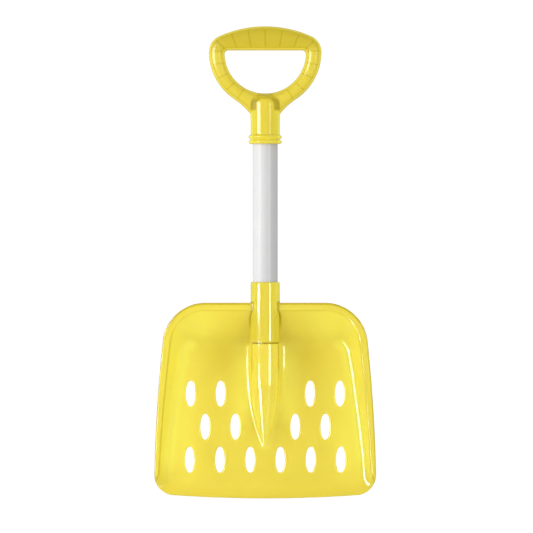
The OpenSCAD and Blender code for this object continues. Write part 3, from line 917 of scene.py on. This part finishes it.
def mark_grip(piece, points):
    """The numbers for the grip's material, placed in millimetres."""
    x, s, z = points.T
    half_x = np.abs(x)
    v = s - LOOP_MIDDLE
    h = s - MOUTH
    on_socket = grip_sleeve(x, s, z) < TOUCHING

    # Painted shade: the ribs' shadows and the shaded hollow that show through the wall of the loop,
    # with a dark line inside its edges
    inner, outer = hand_hole(x, v), -loop_outside(x, v)
    off_middle = np.abs(inner - outer) / np.maximum(inner + outer, 1)
    from_edge = np.minimum(inner, outer)
    carry(piece, "rib", hump(rib_distance(x, v), 0, 0.75) * falls(3 * off_middle, 1.7, 1))
    hollow = rises(from_edge, 1.4, 1) * (ARM_PAINTED_SHADE + BAR_PAINTED_SHADE * rises(v, -4, 14))
    carry(piece, "hollow", hollow + WALL_LINE * hump(from_edge, 2.7, 0.7))

    # An arch of painted shade round the socket's end, on the front alone
    arch_x, arch_h = half_x - ARCH_X, h - ARCH_H
    arch_away = np.hypot(np.maximum(arch_x, 0), np.maximum(arch_h, 0)) - ARCH_RADIUS
    arch_away += np.minimum(np.maximum(arch_x, arch_h), 0)
    arch = falls(np.abs(arch_away), 2.2, 1.6) * rises(arch_h, -7, 3) * (1 - 0.5 * rises(arch_h, 4, 4))
    arch *= z > AXIS
    carry(piece, "arch", arch)

    # A duller loop, and painted light on the socket's sides and between its beads
    loop_satin = ARM_SATIN + BAR_SATIN * rises(v, -2, 10)
    carry(piece, "satin", np.maximum(arch, np.where(on_socket, 0, loop_satin)))
    bead_gap = hump(h, BEAD + BEAD_PITCH / 2, 1.3)
    painted_light = np.maximum(SOCKET_PAINTED_LIGHT * rises(half_x, 7, 6), BEAD_GAP_PAINTED_LIGHT * bead_gap)
    carry(piece, "painted_light", np.where(on_socket, painted_light, 0))


def dressed(piece, material, node):
    piece.data.materials.append(material)
    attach(piece, "root")
    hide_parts(node)


white = white_plastic()
steel = zinc_steel()

blade_piece, blade_points = meshed("Blade", blade, *BLADE_BOX, BLADE_CELLS[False])
mark_blade(blade_piece, blade_points)
blade_yellow = yellow_plastic("Yellow blade plastic", blade_painted_shade, 0.05, 0.08)
dressed(blade_piece, blade_yellow, "blade")

grip_piece, grip_points = meshed("Grip", grip, *GRIP_BOX, GRIP_CELLS[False])
mark_grip(grip_piece, grip_points)
grip_yellow = yellow_plastic("Yellow grip plastic", grip_painted_shade, 0.09, 0.13)
dressed(grip_piece, grip_yellow, "grip")

tube_piece = tube()
dressed(tube_piece, white, "shaft")

for screw_name, screw_node, screw_at in (
    ("Blade_screw", "blade_screw", BLADE_SCREW),
    ("Grip_screw", "grip_screw", GRIP_SCREW),
):
    screw_low = (-SCREW_REACH, screw_at - SCREW_REACH, 0)
    screw_high = (SCREW_REACH, screw_at + SCREW_REACH, SCREW_BOX_TOP)
    screw_piece, _ = meshed(screw_name, screw_field(screw_at), screw_low, screw_high, SCREW_CELL)
    dressed(screw_piece, steel, screw_node)

# Floor, light and camera, in metres
FLOOR_SIZE = 8
FLOOR_GAP = 0.0004
STRIP_DISTANCE = 1.8
FILL_LENGTH = 1.2
TENT_LIGHT = (0.68, 0.68, 0.68, 1)
TENT_GREYS = (
    (0.0, 0.5),
    (0.4, 0.10),
    (0.49, 0.10),
    (0.51, 0.7),
    (0.55, 0.7),
    (0.57, 0.18),
    (0.68, 0.34),
    (1.0, 0.48),
)
VIEW_WIDTH = 0.5318
VIEW_MIDDLE = (0.0013, -0.00385)
LENS = 500
SENSOR = 36

bpy.ops.mesh.primitive_plane_add(size=FLOOR_SIZE, location=(0, 0, -FLOOR_GAP))
floor_piece = bpy.context.object
floor_piece.name = "Floor"
floor_piece.data.materials.append(white_floor())


def lit_only(name, *pieces):
    """A collection that a light is kept to."""
    group = bpy.data.collections.new(name)
    for piece in pieces:
        group.objects.link(piece)
    return group


def area_light(name, degrees, distance, wide, long, power, lit):
    """A light that is long in Y, leaning from straight above towards +X."""
    data = bpy.data.lights.new(name, "AREA")
    data.shape = "RECTANGLE"
    data.size = long
    data.size_y = wide
    data.energy = power
    light = bpy.data.objects.new(name, data)
    bpy.context.collection.objects.link(light)
    lean = math.radians(degrees)
    towards = Vector((math.sin(lean), 0, math.cos(lean))).normalized()
    light.location = towards * distance
    light.rotation_mode = "QUATERNION"
    light.rotation_quaternion = towards.to_track_quat("Z", "Y")
    light.light_linking.receiver_collection = lit
    return light


ON_BLADE = lit_only("Lit blade", blade_piece)
ON_GRIP = lit_only("Lit grip", grip_piece)
ON_TUBE = lit_only("Lit tube", tube_piece)
ON_HANDLE = lit_only("Lit handle", grip_piece, tube_piece)
ON_YELLOW = lit_only("Lit yellow pieces", blade_piece, grip_piece)

# Strips that only show as reflections: name, lean, ends in Y, width, brightness and what they light
for strip_name, angle, y_low, y_high, wide, bright, lit in (
    ("Left grip strip", -52, -0.066, 0.9, 0.80, 13.5, ON_GRIP),
    ("Left tube strip", -52, -0.066, 0.9, 0.60, 9, ON_TUBE),
    ("Left sleeve strip", -52, -0.066, 0.9, 0.60, 20, ON_BLADE),
    ("Left low strip", -52, -2.3, -0.11, 0.60, 20, ON_BLADE),
    ("Right grip strip", 38, -0.15, 0.9, 0.30, 4.8, ON_GRIP),
    ("Right tube strip", 38, -0.15, 0.9, 0.30, 16, ON_TUBE),
    ("Right sleeve strip", 38, -0.083, 0.9, 0.30, 12, ON_BLADE),
    ("Right ramp strip", 38, -0.15, -0.083, 0.40, 20, ON_BLADE),
    ("Right low strip", 38, -2.8, -1.2, 0.30, 3, ON_BLADE),
):
    long = y_high - y_low
    power = bright * math.pi * wide * long
    strip = area_light(strip_name, angle, STRIP_DISTANCE, wide, long, power, lit)
    strip.location.y = (y_low + y_high) / 2
    strip.visible_diffuse = False
    strip.visible_transmission = False

# Fills that don't show in reflections: name, lean, distance, width, power and what they light
for fill_name, angle, distance, wide, power, lit in (
    ("Left fill", -60, 2.0, 1.2, 28, ON_HANDLE),
    ("Left blade fill", -55, 0.7, 0.60, 3.05, ON_BLADE),
    ("Right fill", 48, 2.0, 1.4, 19, ON_YELLOW),
):
    fill = area_light(fill_name, angle, distance, wide, FILL_LENGTH * distance, power, lit)
    fill.visible_glossy = False

# A tent of even light, white to the camera. Reflections show it grey overhead and darker down its
# sides, with a pale band at the horizon
world = bpy.data.worlds.new("Studio")
world.use_nodes = True
world.cycles.sampling_method = "NONE"
sky = world.node_tree
direction = sky.nodes.new("ShaderNodeTexCoord")
parts = sky.nodes.new("ShaderNodeSeparateXYZ")
height = new_node(sky, "ShaderNodeMapRange", From_Min=-1)
sky_ray = sky.nodes.new("ShaderNodeLightPath").outputs
sky.links.new(direction.outputs["Generated"], parts.inputs["Vector"])
sky.links.new(parts.outputs["Z"], height.inputs["Value"])
tent = ramped(sky, height.outputs["Result"], [(place, grey(value)) for place, value in TENT_GREYS])
tent = blended(sky, "MIX", sky_ray["Is Diffuse Ray"], tent, TENT_LIGHT)
tent = blended(sky, "MIX", sky_ray["Is Camera Ray"], tent, (1, 1, 1, 1))
sky.links.new(tent, sky.nodes["Background"].inputs["Color"])
bpy.context.scene.world = world
bpy.context.scene.view_settings.view_transform = "Standard"
bpy.context.scene.view_settings.look = "None"

# A long lens straight above
camera_data = bpy.data.cameras.new("Camera")
camera_data.lens = LENS
camera_data.sensor_width = SENSOR
camera_data.clip_end = 100
camera = bpy.data.objects.new("Camera", camera_data)
bpy.context.collection.objects.link(camera)
camera.location = (*VIEW_MIDDLE, AXIS / 1000 + VIEW_WIDTH * LENS / SENSOR)
camera.rotation_euler = (0, 0, 0)
bpy.context.scene.camera = camera
